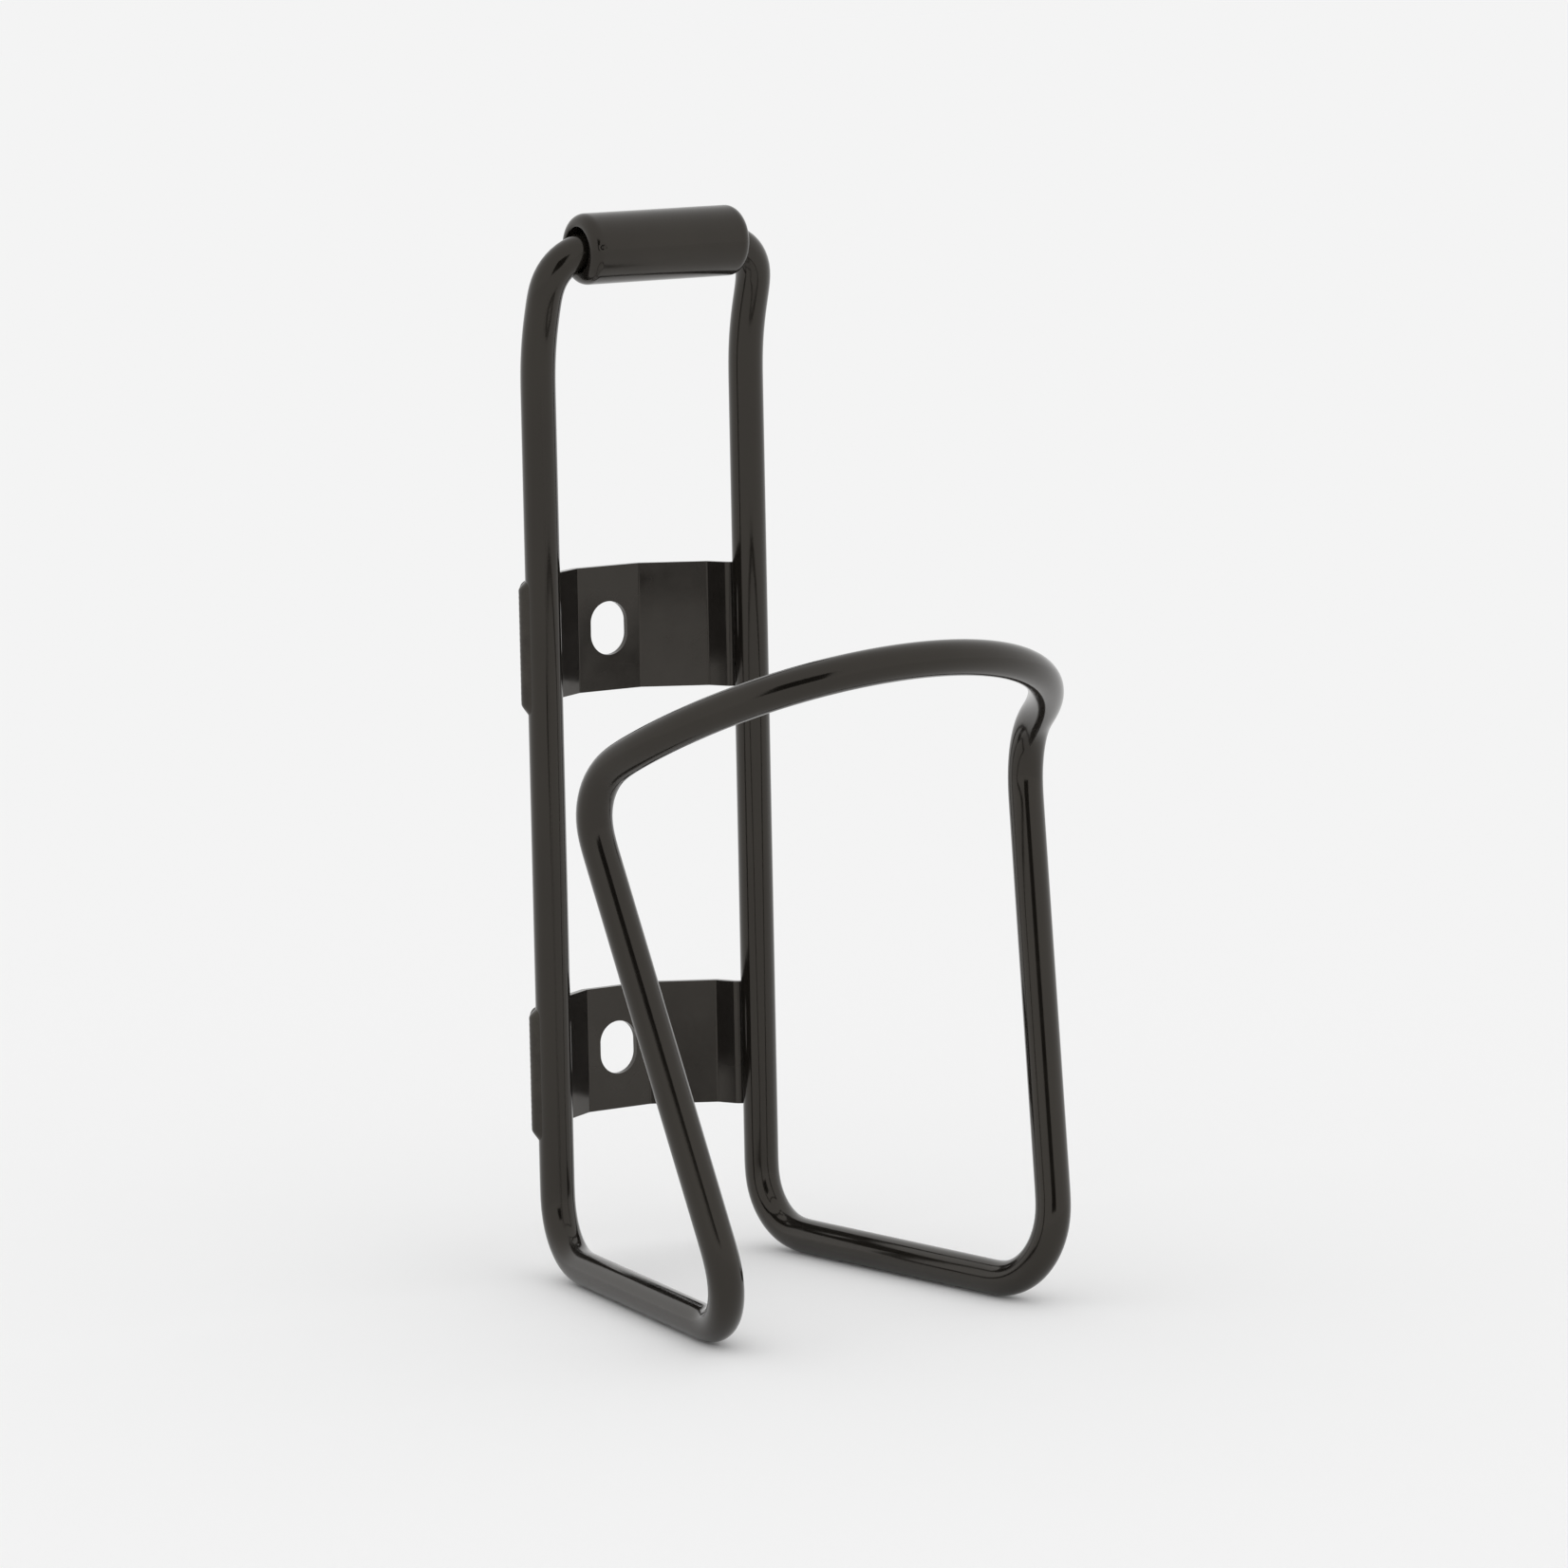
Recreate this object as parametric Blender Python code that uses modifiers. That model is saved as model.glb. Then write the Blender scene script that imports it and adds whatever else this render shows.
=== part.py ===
"""Bottle cage for a bicycle: one bent rod, its joining sleeve and two welded brackets.

Metres, +Z up. The bottle stands on the -Y side, and the rear faces of the brackets
(+Y) bolt to the bicycle's frame tube. The origin is in the middle of the cage's
footprint, level with the underside of the rod. Lengths below that are measured from
the datum take it at the rails' centreline, level with the lower bracket's slot.
"""
from math import acos, atan2, ceil, cos, hypot, pi, radians, sin, sqrt, tan

import bmesh
import bpy
from mathutils import Quaternion, Vector

MM = 0.001

# Fits
FIT_GAP = 0.3 * MM               # between pieces that touch on the real cage
BOTTLE_DIAMETER = 73.0 * MM      # standard cycling bottle

# Rod
ROD_DIAMETER = 5.2 * MM          # 5 mm rod with its coating
ROD_END_GAP = 0.8 * MM           # between the two rod ends, inside the sleeve
ROD_BEVEL_RESOLUTION = 6         # sixteen sides
ARC_STEP = radians(9)            # turn between points along a bend

# Rails: the two uprights
RAIL_OFFSET = 18.1 * MM          # to each side of the middle
RAIL_BEND_RADIUS = 9.2 * MM      # at the bottom, into the run
KINK_DROP = 14.7 * MM            # below the crossbar, where a rail starts to lean forward
KINK_RADIUS = 34.0 * MM

# Crossbar: its two halves meet in the sleeve
CROSSBAR_HEIGHT = 122.4 * MM     # above the datum
CROSSBAR_LEAN = 4.6 * MM         # forward of the rails
CROSSBAR_BEND_RADIUS = 6.6 * MM

# Runs: the two level rods under the bottle
RUN_DROP = 28.2 * MM             # below the datum
RUN_FRONT_OFFSET = 27.0 * MM     # to each side, where the runs turn up
RUN_FRONT_MARGIN = 2.3 * MM      # that corner stands outside the wire's circle
RUN_BEND_RADIUS = 10.1 * MM

# Hoop: rises forward from its two side corners
HOOP_GRIP = 1.1 * MM             # the side corners stand inside the wire's circle
HOOP_CORNER_FORWARD = 7.9 * MM   # of the bottle's axis
HOOP_CORNER_HEIGHT = 49.7 * MM   # above the datum
HOOP_BEND_RADIUS = 10.0 * MM
HOOP_RISE = 17.7 * MM            # from the side corners to the front
HOOP_ARC_INSET = 1.1 * MM        # the arc's half width inside the side corners

# Sleeve
SLEEVE_REACH = 2.6 * MM          # past the start of each crossbar bend
SLEEVE_LIP = 1.4 * MM            # wall at the mouth
SLEEVE_EDGE_RADIUS = 1.2 * MM
SLEEVE_STEPS = 32
EDGE_ARC_STEPS = 5

# Brackets: bent sheet. From the middle: a flat, a slanted flank, a steep arm, and a foot
# that lies behind the rail
SLOT_SPACING = 64.0 * MM         # standard spacing of the two bosses on a bicycle
BRACKET_HEIGHT = 18.8 * MM
SHEET_THICKNESS = 1.0 * MM
STANDOFF = 12.2 * MM             # rear face of the flat, behind the datum
FLAT_HALF_WIDTH = 5.4 * MM
ARM_RUN = 1.9 * MM               # sideways from the flank's end to the foot
ARM_RISE = 3.5 * MM              # forward from the flank's end to the foot
FOOT_INSIDE_RAIL = 1.8 * MM      # foot's inner fold, towards the middle from the rail
FOOT_PAST_RAIL = 1.9 * MM        # foot's end, outwards from the rail
FOOT_CORNER_RADIUS = 1.5 * MM
FOOT_CORNER_STEPS = 6
FOLD_INSIDE_RADIUS = 0.7 * MM
SLOT_WIDTH = 6.3 * MM
SLOT_LENGTH = 8.2 * MM
SLOT_SEGMENTS = 32

# Weld beads: above and below each foot, round the back of the rail
WELD_THROW = 1.0 * MM            # thickness where a bead meets the foot's edge
WELD_BELOW_LENGTH = 2.6 * MM     # along the rail
WELD_BELOW_ARC = (-20, 65)       # degrees from straight back, outwards
WELD_ABOVE_LENGTH = 0.9 * MM
WELD_ABOVE_ARC = (-65, 20)
WELD_SPIN_STEPS = 8
WELD_PROFILE_STEPS = 5

# Worked out from the sizes above
ROD_RADIUS = ROD_DIAMETER / 2
WIRE_CIRCLE = BOTTLE_DIAMETER / 2 + ROD_RADIUS
BOTTLE_AXIS_Y = -sqrt(WIRE_CIRCLE**2 - RAIL_OFFSET**2)
RUN_FRONT_Y = BOTTLE_AXIS_Y - sqrt((WIRE_CIRCLE + RUN_FRONT_MARGIN)**2 - RUN_FRONT_OFFSET**2)
HOOP_FRONT_Y = BOTTLE_AXIS_Y - WIRE_CIRCLE
HOOP_CORNER_OFFSET = WIRE_CIRCLE - HOOP_GRIP
HOOP_ARC_RADIUS = HOOP_CORNER_OFFSET - HOOP_ARC_INSET
FOOT_FRONT_Y = ROD_RADIUS + FIT_GAP
FLAT_FRONT_Y = STANDOFF - SHEET_THICKNESS
DEPTH_MIDDLE = (STANDOFF + HOOP_FRONT_Y - ROD_RADIUS) / 2
BRACKET_HEIGHTS = {"lower": 0.0, "upper": SLOT_SPACING}


def clear_scene():
    for old in list(bpy.data.objects):
        bpy.data.objects.remove(old, do_unlink=True)


def new_collection(name):
    collection = bpy.data.collections.new(name)
    bpy.context.scene.collection.children.link(collection)
    return collection


def new_material(name, colour, roughness, metallic):
    material = bpy.data.materials.new(name)
    material.use_nodes = True
    shader = material.node_tree.nodes["Principled BSDF"]
    shader.inputs["Base Color"].default_value = (*colour, 1)
    shader.inputs["Roughness"].default_value = roughness
    shader.inputs["Metallic"].default_value = metallic
    return material


def add_object(name, data, collection, datum):
    part = bpy.data.objects.new(name, data)
    collection.objects.link(part)
    part.parent = datum
    return part


def mesh_from(bm, name):
    mesh = bpy.data.meshes.new(name)
    bm.to_mesh(mesh)
    bm.free()
    mesh.shade_smooth()
    mesh.set_sharp_from_angle(angle=radians(35))
    return mesh


def mirrored(point):
    return Vector((-point.x, point.y, point.z))


def rounded_line(corners, radii):
    """A line through the corners, with an arc at each one between the first and last."""
    points = [corners[0]]
    for before, corner, after, radius in zip(corners, corners[1:], corners[2:], radii):
        back = (before - corner).normalized()
        onward = (after - corner).normalized()
        half_angle = back.angle(onward) / 2
        centre = corner + (back + onward).normalized() * radius / sin(half_angle)
        start = corner + back * radius / tan(half_angle) - centre
        end = corner + onward * radius / tan(half_angle) - centre
        axis = start.cross(end).normalized()
        turn = start.angle(end)
        steps = ceil(turn / ARC_STEP)
        for i in range(steps + 1):
            points.append(centre + Quaternion(axis, turn * i / steps) @ start)
    points.append(corners[-1])
    return points


def hoop_arc(corner):
    """Right half of the hoop's arc, from where it leaves the straight to the front middle."""
    front = Vector((0, HOOP_FRONT_Y, corner.z + HOOP_RISE))
    sideways = Vector((1, 0, 0))
    rearward = Vector((0, corner.y - front.y, corner.z - front.z))
    depth = rearward.length
    rearward.normalize()
    centre = front + rearward * HOOP_ARC_RADIUS
    corner_angle = atan2(corner.x, HOOP_ARC_RADIUS - depth)
    turn = corner_angle - acos(HOOP_ARC_RADIUS / hypot(corner.x, HOOP_ARC_RADIUS - depth))
    steps = ceil(turn / ARC_STEP)
    points = []
    for i in range(steps, -1, -1):
        angle = turn * i / steps
        points.append(centre + HOOP_ARC_RADIUS * (sideways * sin(angle) - rearward * cos(angle)))
    return points


def rod_half():
    """Centreline of the rod's right half, from its end in the sleeve to the hoop's front."""
    hoop_corner = Vector((HOOP_CORNER_OFFSET, BOTTLE_AXIS_Y - HOOP_CORNER_FORWARD, HOOP_CORNER_HEIGHT))
    hoop = hoop_arc(hoop_corner)
    corners = [
        Vector((ROD_END_GAP / 2, -CROSSBAR_LEAN, CROSSBAR_HEIGHT)),
        Vector((RAIL_OFFSET, -CROSSBAR_LEAN, CROSSBAR_HEIGHT)),
        Vector((RAIL_OFFSET, 0, CROSSBAR_HEIGHT - KINK_DROP)),
        Vector((RAIL_OFFSET, 0, -RUN_DROP)),
        Vector((RUN_FRONT_OFFSET, RUN_FRONT_Y, -RUN_DROP)),
        hoop_corner,
        hoop[0],
    ]
    radii = [CROSSBAR_BEND_RADIUS, KINK_RADIUS, RAIL_BEND_RADIUS, RUN_BEND_RADIUS, HOOP_BEND_RADIUS]
    return rounded_line(corners, radii) + hoop[1:]


def rod_curve():
    right = rod_half()
    points = right + [mirrored(point) for point in reversed(right[:-1])]
    curve = bpy.data.curves.new("frame_rod", "CURVE")
    curve.dimensions = "3D"
    curve.bevel_depth = ROD_RADIUS
    curve.bevel_resolution = ROD_BEVEL_RESOLUTION
    curve.use_fill_caps = True
    spline = curve.splines.new("POLY")
    spline.points.add(len(points) - 1)
    for spline_point, point in zip(spline.points, points):
        spline_point.co = (*point, 1)
    return curve


def sleeve_outline():
    """Closed half section of the sleeve: (radius, height), down the outside and up the bore."""
    bend_start = RAIL_OFFSET - CROSSBAR_BEND_RADIUS
    bend_inside = CROSSBAR_BEND_RADIUS - ROD_RADIUS
    rod_lowest = CROSSBAR_BEND_RADIUS - sqrt(bend_inside**2 - SLEEVE_REACH**2)
    mouth = rod_lowest + FIT_GAP
    outside = mouth + SLEEVE_LIP
    half_length = bend_start + SLEEVE_REACH
    top_edge = []
    for i in range(EDGE_ARC_STEPS + 1):
        angle = pi / 2 * i / EDGE_ARC_STEPS
        radius = outside - SLEEVE_EDGE_RADIUS * (1 - sin(angle))
        top_edge.append((radius, half_length - SLEEVE_EDGE_RADIUS * (1 - cos(angle))))
    outer = top_edge + [(radius, -height) for radius, height in reversed(top_edge)]
    bore = ROD_RADIUS + FIT_GAP
    inner = [(mouth, -half_length), (bore, -bend_start), (bore, bend_start), (mouth, half_length)]
    return outer + inner


def sleeve_mesh():
    bm = bmesh.new()
    ring = [bm.verts.new((radius, 0, height)) for radius, height in sleeve_outline()]
    for vertex, following in zip(ring, ring[1:] + ring[:1]):
        bm.edges.new((vertex, following))
    return mesh_from(bm, "joint_sleeve")


def add_sleeve(collection, datum, material):
    mesh = sleeve_mesh()
    mesh.materials.append(material)
    sleeve = add_object("joint_sleeve", mesh, collection, datum)
    sleeve.location = (0, -CROSSBAR_LEAN, CROSSBAR_HEIGHT)
    sleeve.rotation_euler = (0, pi / 2, 0)
    turning = sleeve.modifiers.new("turned", "SCREW")
    turning.steps = SLEEVE_STEPS
    turning.render_steps = SLEEVE_STEPS
    turning.use_merge_vertices = True
    turning.merge_threshold = 0.00001
    turning.use_smooth_shade = True


def bracket_stations():
    """Front surface of half a bracket: (x, y, half height), from the middle to the foot's end."""
    round_start = RAIL_OFFSET + FOOT_PAST_RAIL - FOOT_CORNER_RADIUS
    foot_fold = RAIL_OFFSET - FOOT_INSIDE_RAIL
    corners = [
        Vector((0, FLAT_FRONT_Y, 0)),
        Vector((FLAT_HALF_WIDTH, FLAT_FRONT_Y, 0)),
        Vector((foot_fold - ARM_RUN, FOOT_FRONT_Y + ARM_RISE, 0)),
        Vector((foot_fold, FOOT_FRONT_Y, 0)),
        Vector((round_start, FOOT_FRONT_Y, 0)),
    ]
    fold_outside_radius = FOLD_INSIDE_RADIUS + SHEET_THICKNESS
    line = rounded_line(corners, [FOLD_INSIDE_RADIUS, FOLD_INSIDE_RADIUS, fold_outside_radius])
    stations = [(point.x, point.y, BRACKET_HEIGHT / 2) for point in line]
    for i in range(1, FOOT_CORNER_STEPS + 1):
        angle = pi / 2 * i / FOOT_CORNER_STEPS
        half_height = BRACKET_HEIGHT / 2 - FOOT_CORNER_RADIUS * (1 - cos(angle))
        stations.append((round_start + FOOT_CORNER_RADIUS * sin(angle), FOOT_FRONT_Y, half_height))
    return stations


def bracket_mesh(name):
    """The right half of the sheet's front surface, open at the middle."""
    bm = bmesh.new()
    columns = []
    for x, y, half_height in bracket_stations():
        columns.append([bm.verts.new((x, y, z)) for z in (-half_height, half_height)])
    for (low, high), (next_low, next_high) in zip(columns, columns[1:]):
        bm.faces.new((low, next_low, next_high, high))
    return mesh_from(bm, name)


def slot_cutter(name, height, collection, datum):
    """A bar with round ends that cuts the bolt's slot through the flat."""
    bm = bmesh.new()
    bmesh.ops.create_cone(
        bm, cap_ends=True, segments=SLOT_SEGMENTS,
        radius1=SLOT_WIDTH / 2, radius2=SLOT_WIDTH / 2, depth=4 * SHEET_THICKNESS,
    )
    for vertex in bm.verts:
        vertex.co.x += (SLOT_LENGTH - SLOT_WIDTH) / 2 * (1 if vertex.co.x > 0 else -1)
    cutter = add_object(name, mesh_from(bm, name), collection, datum)
    cutter.location = (0, STANDOFF - SHEET_THICKNESS / 2, height)
    cutter.rotation_euler = (0, pi / 2, pi / 2)
    cutter.hide_render = True
    cutter.display_type = "WIRE"
    return cutter


def add_bracket(level, height, collection, cutters, datum, material):
    name = f"{level}_bracket"
    mesh = bracket_mesh(name)
    mesh.materials.append(material)
    bracket = add_object(name, mesh, collection, datum)
    bracket.location = (0, 0, height)
    halves = bracket.modifiers.new("both_halves", "MIRROR")
    halves.use_mirror_merge = True
    halves.merge_threshold = 0.00001
    sheet = bracket.modifiers.new("sheet", "SOLIDIFY")
    sheet.thickness = SHEET_THICKNESS
    sheet.offset = -1
    sheet.use_even_offset = True
    slot = bracket.modifiers.new("slot", "BOOLEAN")
    slot.operation = "DIFFERENCE"
    slot.object = slot_cutter(f"{level}_slot_cutter", height, cutters, datum)


def weld_mesh(name, length, first_angle, last_angle):
    """Bead that tapers along -Z: a quarter ellipse swept round a rail, between two angles."""
    inner = ROD_RADIUS + FIT_GAP
    outline = [(inner, 0)]
    for i in range(WELD_PROFILE_STEPS + 1):
        angle = pi / 2 * i / WELD_PROFILE_STEPS
        outline.append((inner + WELD_THROW * cos(angle), -length * sin(angle)))
    bm = bmesh.new()
    corners = []
    for radius, z in outline:
        corners.append(bm.verts.new((radius * sin(first_angle), radius * cos(first_angle), z)))
    profile = bm.faces.new(corners)
    bmesh.ops.spin(
        bm, geom=[profile, *profile.edges, *profile.verts], cent=(0, 0, 0), axis=(0, 0, 1),
        angle=first_angle - last_angle, steps=WELD_SPIN_STEPS, use_duplicate=False,
    )
    bmesh.ops.recalc_face_normals(bm, faces=bm.faces[:])
    return mesh_from(bm, name)


def add_weld(name, length, arc, outward, location, upside_down, collection, datum, material):
    """The arc runs from straight back, positive away from the cage's middle."""
    flip = -outward if upside_down else outward
    first_angle, last_angle = (flip * radians(angle) for angle in arc)
    mesh = weld_mesh(name, length, first_angle, last_angle)
    mesh.materials.append(material)
    weld = add_object(name, mesh, collection, datum)
    weld.location = location
    weld.rotation_euler = (0, pi if upside_down else 0, 0)


def add_welds(collection, datum, material):
    edge = BRACKET_HEIGHT / 2 + FIT_GAP
    for level, height in BRACKET_HEIGHTS.items():
        for side, outward in (("left", -1), ("right", 1)):
            x = outward * RAIL_OFFSET
            add_weld(f"weld_{level}_{side}_below", WELD_BELOW_LENGTH, WELD_BELOW_ARC, outward,
                     (x, 0, height - edge), False, collection, datum, material)
            add_weld(f"weld_{level}_{side}_above", WELD_ABOVE_LENGTH, WELD_ABOVE_ARC, outward,
                     (x, 0, height + edge), True, collection, datum, material)


def build():
    clear_scene()
    cage = new_collection("bottle_cage")
    cutters = new_collection("cutters")
    datum = bpy.data.objects.new("cage_datum", None)
    datum.location = (0, -DEPTH_MIDDLE, RUN_DROP + ROD_RADIUS)
    cage.objects.link(datum)
    rod = rod_curve()
    rod.materials.append(new_material("coated_rod", (0.052, 0.048, 0.043), 0.30, 0.6))
    add_object("frame_rod", rod, cage, datum)
    add_sleeve(cage, datum, new_material("sleeve_finish", (0.060, 0.056, 0.051), 0.35, 0.3))
    sheet_finish = new_material("coated_sheet", (0.046, 0.044, 0.039), 0.35, 0.6)
    for level, height in BRACKET_HEIGHTS.items():
        add_bracket(level, height, cage, cutters, datum, sheet_finish)
    add_welds(cage, datum, new_material("coated_weld", (0.065, 0.062, 0.056), 0.40, 0.6))


build()
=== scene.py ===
import bpy, bmesh
from math import acos, atan2, ceil, cos, hypot, pi, radians, sin, sqrt, tan
from mathutils import Matrix, Quaternion, Vector


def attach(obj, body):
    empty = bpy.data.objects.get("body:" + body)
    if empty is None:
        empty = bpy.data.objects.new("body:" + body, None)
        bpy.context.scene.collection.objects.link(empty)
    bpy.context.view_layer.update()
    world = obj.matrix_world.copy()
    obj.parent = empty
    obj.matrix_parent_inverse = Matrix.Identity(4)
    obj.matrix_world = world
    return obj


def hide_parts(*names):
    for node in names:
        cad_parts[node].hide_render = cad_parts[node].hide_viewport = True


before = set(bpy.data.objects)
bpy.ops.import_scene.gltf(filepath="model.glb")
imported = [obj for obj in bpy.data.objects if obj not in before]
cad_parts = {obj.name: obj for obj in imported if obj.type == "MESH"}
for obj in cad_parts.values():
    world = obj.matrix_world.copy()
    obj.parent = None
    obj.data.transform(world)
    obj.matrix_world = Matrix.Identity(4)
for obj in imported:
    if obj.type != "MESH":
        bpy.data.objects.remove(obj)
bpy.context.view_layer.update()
mm = 0.001
datum = Vector((0, 32.08, 30.8)) * mm   # rails' centreline, level with the lower slot
print("frame loaded")


# ---- shared helpers

def linearColour(hexText):
    channels = [int(hexText[i:i + 2], 16) / 255 for i in (1, 3, 5)]
    return (*[c / 12.92 if c <= 0.04045 else ((c + 0.055) / 1.055) ** 2.4 for c in channels], 1)


def addNode(tree, kind, settings=None, **links):
    # a plain value sets a socket, a socket makes a link; names use _ for a space
    node = tree.nodes.new(kind)
    for name, value in (settings or {}).items():
        setattr(node, name, value)
    for name, value in links.items():
        key = int(name[5:]) if name.startswith("input") else name.replace("_", " ")
        socket = node.inputs[key]
        if isinstance(value, bpy.types.NodeSocket):
            tree.links.new(value, socket)
        else:
            socket.default_value = value
    return node


def newMaterial(name, **shaderValues):
    material = bpy.data.materials.new(name)
    material.use_nodes = True
    shader = material.node_tree.nodes["Principled BSDF"]
    for key, value in shaderValues.items():
        shader.inputs[key.replace("_", " ")].default_value = value
    return material, material.node_tree, shader


def newTree(name, sockets):
    tree = bpy.data.node_groups.new(name, "GeometryNodeTree")
    for socketName, kind, value in sockets:
        socket = tree.interface.new_socket(socketName, in_out="INPUT", socket_type=kind)
        if value is not None:
            socket.default_value = value
    tree.interface.new_socket("Geometry", in_out="OUTPUT", socket_type="NodeSocketGeometry")
    return tree, tree.nodes.new("NodeGroupInput"), tree.nodes.new("NodeGroupOutput")


def linkObject(name, data):
    piece = bpy.data.objects.new(name, data)
    bpy.context.scene.collection.objects.link(piece)
    return piece


def bakeModifiers(piece):
    # the evaluated result becomes a plain mesh, and the modifiers go
    depsgraph = bpy.context.evaluated_depsgraph_get()
    mesh = bpy.data.meshes.new_from_object(piece.evaluated_get(depsgraph), depsgraph=depsgraph)
    piece.modifiers.clear()
    piece.data = mesh
    mesh.name = piece.name


def growWith(piece, tree, values):
    modifier = piece.modifiers.new(tree.name, "NODES")
    modifier.node_group = tree
    for socket in tree.interface.items_tree:
        if socket.in_out == "INPUT" and socket.name in values:
            modifier[socket.identifier] = values[socket.name]
    bakeModifiers(piece)


def takePlace(piece, slotName, *nodes):
    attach(piece, "root")
    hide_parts(*nodes)


def roundedLine(corners, radii, step=radians(3)):
    # straight runs joined by arcs
    points = [corners[0]]
    for before, corner, after, radius in zip(corners, corners[1:], corners[2:], radii):
        back = (before - corner).normalized()
        onward = (after - corner).normalized()
        halfAngle = back.angle(onward) / 2
        centre = corner + (back + onward).normalized() * radius / sin(halfAngle)
        start = corner + back * radius / tan(halfAngle) - centre
        end = corner + onward * radius / tan(halfAngle) - centre
        axis = start.cross(end).normalized()
        turn = start.angle(end)
        steps = ceil(turn / step)
        points += [centre + Quaternion(axis, turn * i / steps) @ start for i in range(steps + 1)]
    return points + [corners[-1]]


# ---- materials

def finishDetail(tree, coordinates, scale, colours, sheen, bumpHeight):
    # cloudy colour, uneven gloss and a faint orange peel, all from object coordinates
    cloud = addNode(tree, "ShaderNodeTexNoise", Vector=coordinates, Scale=scale["cloud"], Detail=3.0)
    tint = addNode(tree, "ShaderNodeValToRGB", Fac=cloud.outputs["Fac"])
    tint.color_ramp.elements[0].position = 0.35
    tint.color_ramp.elements[0].color = linearColour(colours[0])
    tint.color_ramp.elements[1].position = 0.65
    tint.color_ramp.elements[1].color = linearColour(colours[1])
    smudge = addNode(tree, "ShaderNodeTexNoise", Vector=coordinates, Scale=scale["smudge"], Detail=4.0)
    gloss = addNode(tree, "ShaderNodeMapRange", Value=smudge.outputs["Fac"], From_Min=0.3, From_Max=0.7,
                    To_Min=sheen[0], To_Max=sheen[1])
    peel = addNode(tree, "ShaderNodeTexNoise", Vector=coordinates, Scale=scale["peel"], Detail=2.0)
    bump = addNode(tree, "ShaderNodeBump", Height=peel.outputs["Fac"], Strength=1.0, Distance=bumpHeight)
    return tint.outputs["Color"], gloss.outputs["Result"], bump.outputs["Normal"]


# Anodised aluminium rod, drawn then sealed: near black and glossy, with faint draw lines along it
def anodisedDrawnRod():
    material, tree, shader = newMaterial("anodisedDrawnRod", IOR=1.5, Specular_Tint=linearColour("#fff6ea"))
    coordinates = addNode(tree, "ShaderNodeTexCoord").outputs["Object"]
    colour, gloss, normal = finishDetail(
        tree, coordinates, {"cloud": 60, "smudge": 240, "peel": 900},   # 16, 4 and 1 mm
        ("#12100e", "#171512"), (0.10, 0.16), 0.004 * mm)
    around = addNode(tree, "ShaderNodeAttribute", {"attribute_name": "aroundRod"}).outputs["Fac"]
    along = addNode(tree, "ShaderNodeAttribute", {"attribute_name": "alongRod"}).outputs["Fac"]
    lines = addNode(tree, "ShaderNodeTexNoise", {"noise_dimensions": "2D"}, Detail=1.0, Scale=1.0)
    # 40 lines round the rod, each about 60 mm long: real ones are finer than would show
    across = addNode(tree, "ShaderNodeMath", {"operation": "MULTIPLY"}, input0=around, input1=40.0)
    down = addNode(tree, "ShaderNodeMath", {"operation": "MULTIPLY"}, input0=along, input1=16.0)
    place = addNode(tree, "ShaderNodeCombineXYZ", X=across.outputs[0], Y=down.outputs[0])
    tree.links.new(place.outputs[0], lines.inputs["Vector"])
    drawn = addNode(tree, "ShaderNodeBump", Height=lines.outputs["Fac"], Normal=normal,
                    Strength=1.0, Distance=0.006 * mm)
    tree.links.new(colour, shader.inputs["Base Color"])
    tree.links.new(gloss, shader.inputs["Roughness"])
    tree.links.new(drawn.outputs["Normal"], shader.inputs["Normal"])
    return material


# Anodised aluminium sheet, blanked and bent: the same black, a little cloudier on its flats
def anodisedBentSheet():
    material, tree, shader = newMaterial("anodisedBentSheet", IOR=1.5, Specular_Tint=linearColour("#fff6ea"))
    coordinates = addNode(tree, "ShaderNodeTexCoord").outputs["Object"]
    colour, gloss, normal = finishDetail(
        tree, coordinates, {"cloud": 90, "smudge": 300, "peel": 1100},
        ("#1c1a18", "#242220"), (0.12, 0.19), 0.003 * mm)
    tree.links.new(colour, shader.inputs["Base Color"])
    tree.links.new(gloss, shader.inputs["Roughness"])
    tree.links.new(normal, shader.inputs["Normal"])
    return material


# Anodised aluminium sleeve, turned: softer gloss, with turning lines round it
def anodisedTurnedSleeve():
    material, tree, shader = newMaterial("anodisedTurnedSleeve", IOR=1.5, Specular_Tint=linearColour("#fff6ea"))
    coordinates = addNode(tree, "ShaderNodeTexCoord").outputs["Object"]
    colour, gloss, normal = finishDetail(
        tree, coordinates, {"cloud": 110, "smudge": 350, "peel": 1300},
        ("#13110f", "#191714"), (0.14, 0.19), 0.003 * mm)
    # turning lines 1.6 mm apart along X: real ones are finer than would show
    turned = addNode(tree, "ShaderNodeTexWave", {"wave_type": "BANDS", "bands_direction": "X"},
                     Vector=coordinates, Scale=200.0, Distortion=0.4)
    rings = addNode(tree, "ShaderNodeBump", Height=turned.outputs["Fac"], Normal=normal,
                    Strength=1.0, Distance=0.0006 * mm)
    tree.links.new(colour, shader.inputs["Base Color"])
    tree.links.new(gloss, shader.inputs["Roughness"])
    tree.links.new(rings.outputs["Normal"], shader.inputs["Normal"])
    return material


# Aluminium weld bead, anodised over: rough and slightly paler than the metal beside it
def anodisedWeldBead():
    material, tree, shader = newMaterial("anodisedWeldBead", IOR=1.5, Specular_Tint=linearColour("#fff6ea"))
    coordinates = addNode(tree, "ShaderNodeTexCoord").outputs["Object"]
    colour, gloss, normal = finishDetail(
        tree, coordinates, {"cloud": 500, "smudge": 700, "peel": 1500},
        ("#151311", "#22201c"), (0.18, 0.32), 0.02 * mm)
    tree.links.new(colour, shader.inputs["Base Color"])
    tree.links.new(gloss, shader.inputs["Roughness"])
    tree.links.new(normal, shader.inputs["Normal"])
    return material


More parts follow.
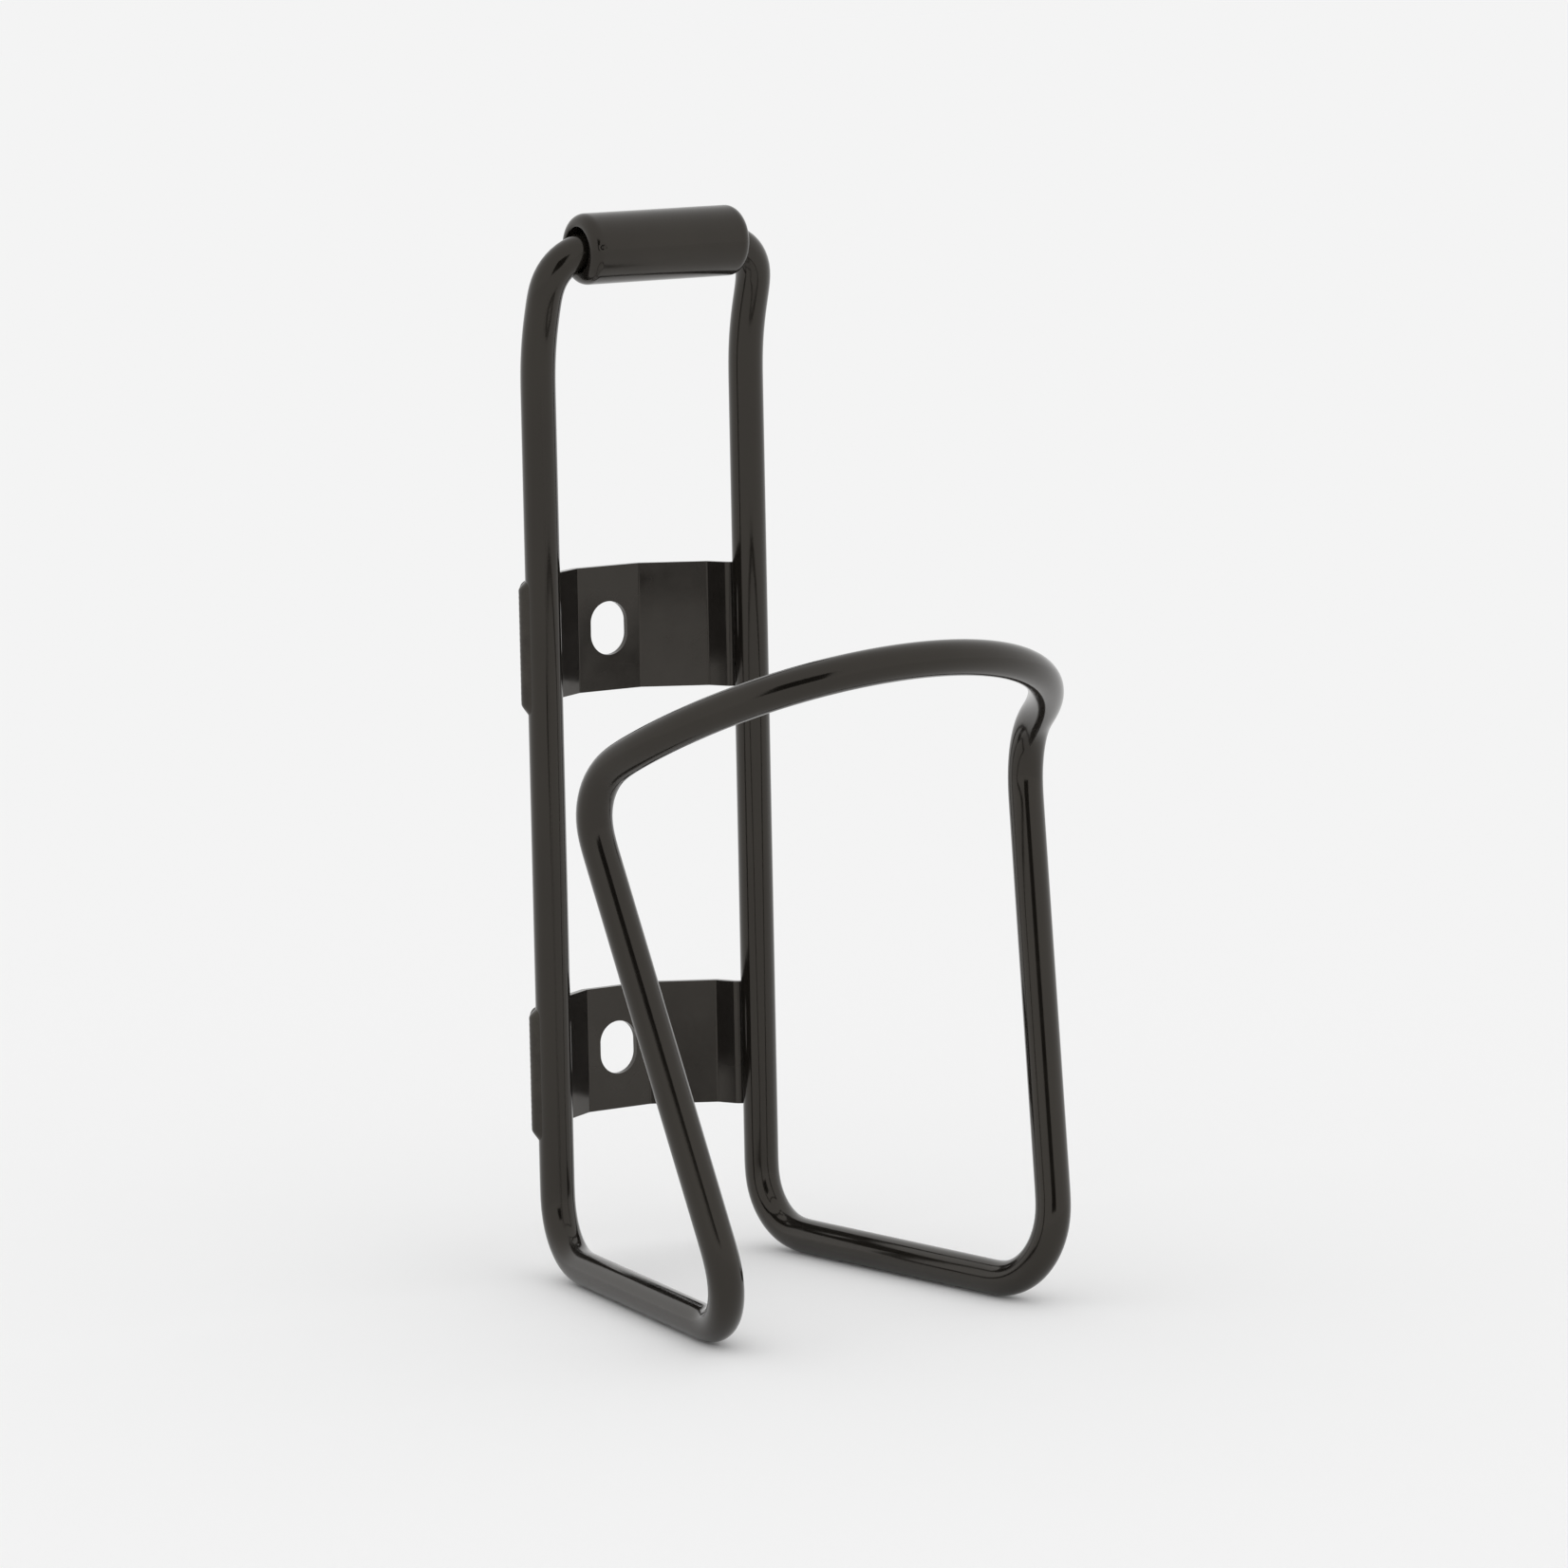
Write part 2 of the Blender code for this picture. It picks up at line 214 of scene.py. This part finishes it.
rodFinish = anodisedDrawnRod()
sheetFinish = anodisedBentSheet()
sleeveFinish = anodisedTurnedSleeve()
weldFinish = anodisedWeldBead()
print("materials made")


# ---- frame rod: one round section swept along the bent centreline

rod = {
    "diameter": 5.2 * mm, "sides": 48, "pointSpacing": 0.8 * mm, "easing": 5,
    "endGap": 0.8 * mm, "bottle": 73.0 * mm,
    "railOffset": 18.1 * mm, "railBend": 9.2 * mm, "kinkDrop": 14.7 * mm, "kinkBend": 34.0 * mm,
    "barHeight": 122.4 * mm, "barLean": 4.6 * mm, "barBend": 6.6 * mm,
    "runDrop": 28.2 * mm, "runOffset": 27.0 * mm, "runMargin": 2.3 * mm, "runBend": 10.1 * mm,
    "hoopGrip": 1.1 * mm, "hoopForward": 7.9 * mm, "hoopHeight": 49.7 * mm,
    "hoopBend": 10.0 * mm, "hoopRise": 17.7 * mm, "hoopInset": 1.1 * mm,
}


def rodCentreline():
    wireCircle = rod["bottle"] / 2 + rod["diameter"] / 2
    bottleY = -sqrt(wireCircle ** 2 - rod["railOffset"] ** 2)
    runY = bottleY - sqrt((wireCircle + rod["runMargin"]) ** 2 - rod["runOffset"] ** 2)
    cornerX = wireCircle - rod["hoopGrip"]
    corner = Vector((cornerX, bottleY - rod["hoopForward"], rod["hoopHeight"]))
    # the hoop's arc, in the plane that slopes up to the front
    arcRadius = cornerX - rod["hoopInset"]
    front = Vector((0, bottleY - wireCircle, corner.z + rod["hoopRise"]))
    rearward = Vector((0, corner.y - front.y, corner.z - front.z))
    depth = rearward.length
    rearward.normalize()
    turn = atan2(cornerX, arcRadius - depth) - acos(arcRadius / hypot(cornerX, arcRadius - depth))
    steps = ceil(turn / radians(2))
    arc = [front + rearward * arcRadius + arcRadius * (Vector((sin(a), 0, 0)) - rearward * cos(a))
           for a in (turn * i / steps for i in range(steps, -1, -1))]
    corners = [
        Vector((rod["endGap"] / 2, -rod["barLean"], rod["barHeight"])),
        Vector((rod["railOffset"], -rod["barLean"], rod["barHeight"])),
        Vector((rod["railOffset"], 0, rod["barHeight"] - rod["kinkDrop"])),
        Vector((rod["railOffset"], 0, -rod["runDrop"])),
        Vector((rod["runOffset"], runY, -rod["runDrop"])),
        corner, arc[0],
    ]
    bends = [rod["barBend"], rod["kinkBend"], rod["railBend"], rod["runBend"], rod["hoopBend"]]
    right = roundedLine(corners, bends) + arc[1:]
    left = [Vector((-p.x, p.y, p.z)) for p in reversed(right[:-1])]
    return [datum + p for p in right + left]


def rodSweepTree():
    tree, given, result = newTree("rodSweep", [
        ("Geometry", "NodeSocketGeometry", None), ("diameter", "NodeSocketFloat", 5 * mm),
        ("sides", "NodeSocketInt", 32), ("pointSpacing", "NodeSocketFloat", 1 * mm), ("easing", "NodeSocketInt", 3),
        ("finish", "NodeSocketMaterial", None)])
    bent = addNode(tree, "GeometryNodeMeshToCurve", Mesh=given.outputs["Geometry"])
    even = addNode(tree, "GeometryNodeResampleCurve", {"mode": "LENGTH"}, Curve=bent.outputs[0],
                   Length=given.outputs["pointSpacing"])
    # a bend eases in and out, as a former bends it, so gloss runs through without a line
    eased = addNode(tree, "GeometryNodeBlurAttribute", {"data_type": "FLOAT_VECTOR"},
                    Iterations=given.outputs["easing"])
    here = addNode(tree, "GeometryNodeInputPosition").outputs[0]
    tree.links.new(here, [i for i in eased.inputs if i.name == "Value" and i.enabled][0])
    softened = [o for o in eased.outputs if o.enabled][0]
    path = addNode(tree, "GeometryNodeSetPosition", Geometry=even.outputs[0], Position=softened)
    pathMark = addNode(tree, "GeometryNodeSplineParameter")
    marked = addNode(tree, "GeometryNodeStoreNamedAttribute", {"data_type": "FLOAT", "domain": "POINT"},
                     Geometry=path.outputs[0], Name="alongRod", Value=pathMark.outputs["Length"])
    radius = addNode(tree, "ShaderNodeMath", {"operation": "MULTIPLY"}, input0=given.outputs["diameter"], input1=0.5)
    section = addNode(tree, "GeometryNodeCurvePrimitiveCircle", Resolution=given.outputs["sides"],
                      Radius=radius.outputs[0])
    sectionMark = addNode(tree, "GeometryNodeSplineParameter")
    ringed = addNode(tree, "GeometryNodeStoreNamedAttribute", {"data_type": "FLOAT", "domain": "POINT"},
                     Geometry=section.outputs[0], Name="aroundRod", Value=sectionMark.outputs["Factor"])
    swept = addNode(tree, "GeometryNodeCurveToMesh", Curve=marked.outputs[0],
                    Profile_Curve=ringed.outputs[0], Fill_Caps=True)
    smooth = addNode(tree, "GeometryNodeSetShadeSmooth", Geometry=swept.outputs[0])
    real = addNode(tree, "GeometryNodeRealizeInstances", Geometry=smooth.outputs[0])
    coated = addNode(tree, "GeometryNodeSetMaterial", Geometry=real.outputs[0], Material=given.outputs["finish"])
    tree.links.new(coated.outputs[0], result.inputs[0])
    return tree


def makeRod():
    points = rodCentreline()
    mesh = bpy.data.meshes.new("frameRod")
    mesh.from_pydata(points, [(i, i + 1) for i in range(len(points) - 1)], [])
    piece = linkObject("frameRod", mesh)
    growWith(piece, rodSweepTree(), {"diameter": rod["diameter"], "sides": rod["sides"], "finish": rodFinish,
                                     "pointSpacing": rod["pointSpacing"], "easing": rod["easing"]})
    takePlace(piece, "coated_rod", "frame_rod")
    print("frame rod:", len(piece.data.polygons), "faces")


makeRod()


# ---- joint sleeve: turned, with rounded lips, a belled bore and a small punch mark

sleeve = {
    "outside": 5.25 * mm, "bore": 2.75 * mm, "mouth": 3.3 * mm, "halfLength": 13.7 * mm,
    "bellDepth": 2.1 * mm, "nose": 1.65 * mm, "around": 240, "stepAlong": 0.15 * mm,
    "punchAlong": -12.2 * mm, "punchTurn": radians(174.5), "punchRadius": 0.5 * mm, "punchDepth": 0.5 * mm,
}


def sleeveOutline():
    # (along, radius): along the outside from the left, round the right lip and back through the bore
    s = sleeve
    nose = s["nose"]
    lip = [(-s["halfLength"] + nose * (1 - sin(a)), s["outside"] - nose * (1 - cos(a)))
           for a in (pi / 2 * (1 - i / 10) for i in range(11))]
    steps = round((s["halfLength"] - nose) * 2 / s["stepAlong"])
    straight = [((s["halfLength"] - nose) * (2 * i / steps - 1), s["outside"]) for i in range(1, steps)]
    outside = lip + straight + [(-x, r) for x, r in reversed(lip)]
    inner = s["outside"] - nose - s["mouth"]   # the rest of the wall, rounded into the mouth
    mouth = [(s["halfLength"] - inner * (1 - cos(a)), s["mouth"] + inner * (1 - sin(a)))
             for a in (pi / 2 * i / 5 for i in range(1, 6))]
    bellLength = s["bellDepth"] - inner
    bell = [(s["halfLength"] - inner - bellLength * t, s["bore"] + (s["mouth"] - s["bore"]) * (1 - t) ** 2)
            for t in (i / 6 for i in range(1, 7))]
    right = mouth + bell
    return outside, right + [(-x, r) for x, r in reversed(right)]


def makeSleeve():
    s = sleeve
    outside, inside = sleeveOutline()
    ring = outside + inside
    centre = datum + Vector((0, -rod["barLean"], rod["barHeight"]))
    bm = bmesh.new()
    columns = []
    for k in range(s["around"]):
        turn = 2 * pi * k / s["around"]
        column = []
        for index, (along, radius) in enumerate(ring):
            if index < len(outside):   # the centre punch that locks the rod's end
                distance = hypot(along - s["punchAlong"], (turn - s["punchTurn"]) * s["outside"])
                radius -= s["punchDepth"] * max(0, 1 - (distance / s["punchRadius"]) ** 2)
            column.append(bm.verts.new(centre + Vector((along, radius * cos(turn), radius * sin(turn)))))
        columns.append(column)
    for first, second in zip(columns, columns[1:] + columns[:1]):
        for i in range(len(ring)):
            j = (i + 1) % len(ring)
            bm.faces.new((first[i], first[j], second[j], second[i]))
    bmesh.ops.recalc_face_normals(bm, faces=bm.faces[:])
    mesh = bpy.data.meshes.new("jointSleeve")
    bm.to_mesh(mesh)
    bm.free()
    mesh.shade_smooth()
    mesh.materials.append(sleeveFinish)
    piece = linkObject("jointSleeve", mesh)
    takePlace(piece, "sleeve_finish", "joint_sleeve")
    print("joint sleeve:", len(mesh.polygons), "faces")


makeSleeve()


# ---- brackets: one bent sheet each, with a round-ended slot

bracket = {
    "height": 18.8 * mm, "sheet": 1.0 * mm, "standoff": 12.2 * mm, "flatHalf": 5.4 * mm,
    "armRun": 1.9 * mm, "armRise": 3.5 * mm, "footInside": 1.8 * mm, "footPast": 1.9 * mm,
    "footCorner": 1.5 * mm, "fold": 0.7 * mm, "footGap": 0.05 * mm,
    "slotWidth": 6.4 * mm, "slotLength": 8.1 * mm, "edge": 0.18 * mm,
    "heights": {"upper": 64.0 * mm, "lower": 0.0},
}


def bracketFront():
    b = bracket
    footX = rod["railOffset"] - b["footInside"]
    footY = rod["diameter"] / 2 + b["footGap"]
    roundStart = rod["railOffset"] + b["footPast"] - b["footCorner"]
    corners = [
        Vector((0, b["standoff"] - b["sheet"], 0)), Vector((b["flatHalf"], b["standoff"] - b["sheet"], 0)),
        Vector((footX - b["armRun"], footY + b["armRise"], 0)), Vector((footX, footY, 0)),
        Vector((roundStart, footY, 0)),
    ]
    line = roundedLine(corners, [b["fold"], b["fold"], b["fold"] + b["sheet"]], radians(8))
    stations = [(p.x, p.y, b["height"] / 2) for p in line]
    for i in range(1, 10):
        angle = pi / 2 * i / 9
        stations.append((roundStart + b["footCorner"] * sin(angle), footY,
                         b["height"] / 2 - b["footCorner"] * (1 - cos(angle))))
    return stations


def slotCutter():
    b = bracket
    bm = bmesh.new()
    bmesh.ops.create_cone(bm, cap_ends=True, segments=64, radius1=b["slotWidth"] / 2,
                          radius2=b["slotWidth"] / 2, depth=4 * b["sheet"])
    for vertex in bm.verts:
        vertex.co.y += (b["slotLength"] - b["slotWidth"]) / 2 * (1 if vertex.co.y > 0 else -1)
    bmesh.ops.transform(bm, matrix=Matrix.Rotation(pi / 2, 4, "X"), verts=bm.verts[:])
    bmesh.ops.translate(bm, vec=(0, b["standoff"] - b["sheet"] / 2, 0), verts=bm.verts[:])
    bmesh.ops.recalc_face_normals(bm, faces=bm.faces[:])
    mesh = bpy.data.meshes.new("slotCutter")
    bm.to_mesh(mesh)
    bm.free()
    return linkObject("slotCutter", mesh)


def makeBracket(level):
    b = bracket
    bm = bmesh.new()
    columns = [[bm.verts.new((x, y, z)) for z in (-h, h)] for x, y, h in bracketFront()]
    for (low, high), (nextLow, nextHigh) in zip(columns, columns[1:]):
        bm.faces.new((low, nextLow, nextHigh, high))
    mesh = bpy.data.meshes.new(level + "Bracket")
    bm.to_mesh(mesh)
    bm.free()
    mesh.materials.append(sheetFinish)
    piece = linkObject(level + "Bracket", mesh)
    halves = piece.modifiers.new("halves", "MIRROR")
    halves.merge_threshold = 0.01 * mm
    thick = piece.modifiers.new("thick", "SOLIDIFY")
    thick.thickness = b["sheet"]
    thick.offset = -1
    thick.use_even_offset = True
    cutter = slotCutter()
    cut = piece.modifiers.new("slot", "BOOLEAN")
    cut.operation = "DIFFERENCE"
    cut.object = cutter
    soft = piece.modifiers.new("soft", "BEVEL")
    soft.width = b["edge"]
    soft.segments = 3
    soft.limit_method = "ANGLE"
    soft.angle_limit = radians(50)
    soft.harden_normals = True
    piece.data.shade_smooth()
    bakeModifiers(piece)
    bpy.data.objects.remove(cutter)
    piece.data.transform(Matrix.Translation(datum + Vector((0, 0, b["heights"][level]))))
    takePlace(piece, "coated_sheet", level + "_bracket")
    print(level, "bracket:", len(piece.data.polygons), "faces")


for level in bracket["heights"]:
    makeBracket(level)


# ---- weld beads: each wraps the outer back of a rail and thins out past the bracket's foot

weld = {
    "throw": 1.0 * mm, "sunk": 0.15 * mm, "rootDepth": 0.5 * mm, "arc": (-34, 108), "full": (-6, 62),
    "above": {"end": 9.9 * mm, "full": 8.2 * mm}, "below": {"end": 10.9 * mm, "full": 8.6 * mm},
    "ripple": 0.01 * mm, "ripplePitch": 0.9 * mm, "stepsRound": 40, "stepsAlong": 48,
}


def ease(value, start, end):
    t = min(1, max(0, (value - start) / (end - start)))
    return t * t * (3 - 2 * t)


def makeWeld(level, side, outward, place, up):
    w = weld
    radius = rod["diameter"] / 2
    centre = datum + Vector((outward * rod["railOffset"], 0, bracket["heights"][level]))
    angles = [w["arc"][0] + (w["arc"][1] - w["arc"][0]) * i / w["stepsRound"]
              for i in range(w["stepsRound"] + 1)]
    inner = radius - w["rootDepth"]
    bm = bmesh.new()
    rows = []
    for j in range(w["stepsAlong"] + 1):
        z = w[place]["end"] * j / w["stepsAlong"]
        lift = 1 - ease(z, w[place]["full"], w[place]["end"])
        row = []
        for angle in angles:
            swell = ease(angle, w["arc"][0], w["full"][0]) * (1 - ease(angle, w["full"][1], w["arc"][1]))
            scale = w["ripple"] * cos(2 * pi * (z / w["ripplePitch"] + (angle - 30) ** 2 / 9000)) * swell * lift
            outer = radius - w["sunk"] + (w["throw"] + w["sunk"]) * swell * lift + scale
            turn = radians(angle)
            row.append((outer * sin(turn) * outward, outer * cos(turn), up * z))
        rows.append([bm.verts.new(centre + Vector(p)) for p in row])
        rows[-1] += [bm.verts.new(centre + Vector((inner * sin(t) * outward, inner * cos(t), up * z)))
                     for t in (radians(angle) for angle in reversed(angles))]
    for low, high in zip(rows, rows[1:]):
        for i in range(len(low)):
            j = (i + 1) % len(low)
            bm.faces.new((low[i], low[j], high[j], high[i]))
    bm.faces.new(rows[0])
    bm.faces.new(rows[-1])
    bmesh.ops.recalc_face_normals(bm, faces=bm.faces[:])
    name = "weld" + level.title() + side.title() + place.title()
    mesh = bpy.data.meshes.new(name)
    bm.to_mesh(mesh)
    bm.free()
    mesh.shade_smooth()
    mesh.set_sharp_from_angle(angle=radians(60))
    mesh.materials.append(weldFinish)
    takePlace(linkObject(name, mesh), "coated_weld", f"weld_{level}_{side}_{place}")


for level in bracket["heights"]:
    for side, outward in (("left", -1), ("right", 1)):
        makeWeld(level, side, outward, "above", 1)
        makeWeld(level, side, outward, "below", -1)
print("weld beads made")


# ---- floor, light and camera

stage = {
    "background": "#f4f4f4", "floorSize": 8.0, "surround": 1.0, "mirrored": 1.08,
    "flagDistance": 0.9, "flagTurn": radians(5), "flagSize": (0.45, 0.5), "flagBottom": 0.17,
}


def paleWorld():
    # even white light all round; the camera and the gloss see the pale background
    world = bpy.data.worlds.new("paleSurround")
    bpy.context.scene.world = world
    world.use_nodes = True
    tree = world.node_tree
    tree.nodes.clear()
    rays = addNode(tree, "ShaderNodeLightPath")
    seen = addNode(tree, "ShaderNodeMath", {"operation": "ADD", "use_clamp": True},
                   input0=rays.outputs["Is Camera Ray"], input1=rays.outputs["Is Transmission Ray"])
    lit = addNode(tree, "ShaderNodeBackground", Color=linearColour("#ffffff"), Strength=stage["surround"])
    mirrored = addNode(tree, "ShaderNodeBackground", Color=linearColour(stage["background"]),
                       Strength=stage["mirrored"])
    shown = addNode(tree, "ShaderNodeBackground", Color=linearColour(stage["background"]), Strength=1.0)
    reflected = addNode(tree, "ShaderNodeMixShader", input0=rays.outputs["Is Glossy Ray"],
                        input1=lit.outputs[0], input2=mirrored.outputs[0])
    mixed = addNode(tree, "ShaderNodeMixShader", input0=seen.outputs[0],
                    input1=reflected.outputs[0], input2=shown.outputs[0])
    addNode(tree, "ShaderNodeOutputWorld", Surface=mixed.outputs[0])


def paleFloor():
    # matt and evenly lit, so it meets the background without an edge and keeps the soft shadow
    bpy.ops.mesh.primitive_plane_add(size=stage["floorSize"], location=(0, 0, -0.0001))
    floor = bpy.context.object
    floor.name = "floor"
    material, tree, shader = newMaterial("mattPaperFloor", Roughness=1.0, Specular_IOR_Level=0.0)
    shader.inputs["Base Color"].default_value = linearColour(stage["background"])
    floor.data.materials.append(material)


def blackFlag(cameraPlace):
    # a tall black card beside the camera, which only the gloss sees
    outward = Vector((cameraPlace.x, cameraPlace.y, 0)).normalized()
    outward.rotate(Quaternion((0, 0, 1), stage["flagTurn"]))
    width, height = stage["flagSize"]
    bpy.ops.mesh.primitive_plane_add(size=1)
    flag = bpy.context.object
    flag.name = "blackFlag"
    flag.scale = (width, height, 1)
    flag.rotation_euler = (pi / 2, 0, atan2(outward.y, outward.x) - pi / 2)
    flag.location = outward * stage["flagDistance"] + Vector((0, 0, stage["flagBottom"] + height / 2))
    material, tree, shader = newMaterial("blackCard", Roughness=1.0, Specular_IOR_Level=0.0)
    shader.inputs["Base Color"].default_value = (0, 0, 0, 1)
    flag.data.materials.append(material)
    for ray in ("camera", "diffuse", "shadow", "transmission", "volume_scatter"):
        setattr(flag, "visible_" + ray, False)


def makeCamera():
    lens = bpy.data.cameras.new("camera")
    lens.lens = 168.0
    lens.sensor_width = 36.0
    camera = linkObject("camera", lens)
    right = Vector((0.84032, -0.54176, -0.01935))
    up = Vector((0.09340, 0.10952, 0.98958))
    back = right.cross(up).normalized()
    turn = Matrix((right, up, back)).transposed().to_4x4()
    camera.matrix_world = Matrix.Translation((-0.5676, -0.8904, 0.2280)) @ turn
    bpy.context.scene.camera = camera
    return camera


camera = makeCamera()
paleWorld()
paleFloor()
blackFlag(camera.matrix_world.translation)
bpy.context.scene.view_settings.view_transform = "Standard"
print("stage set")
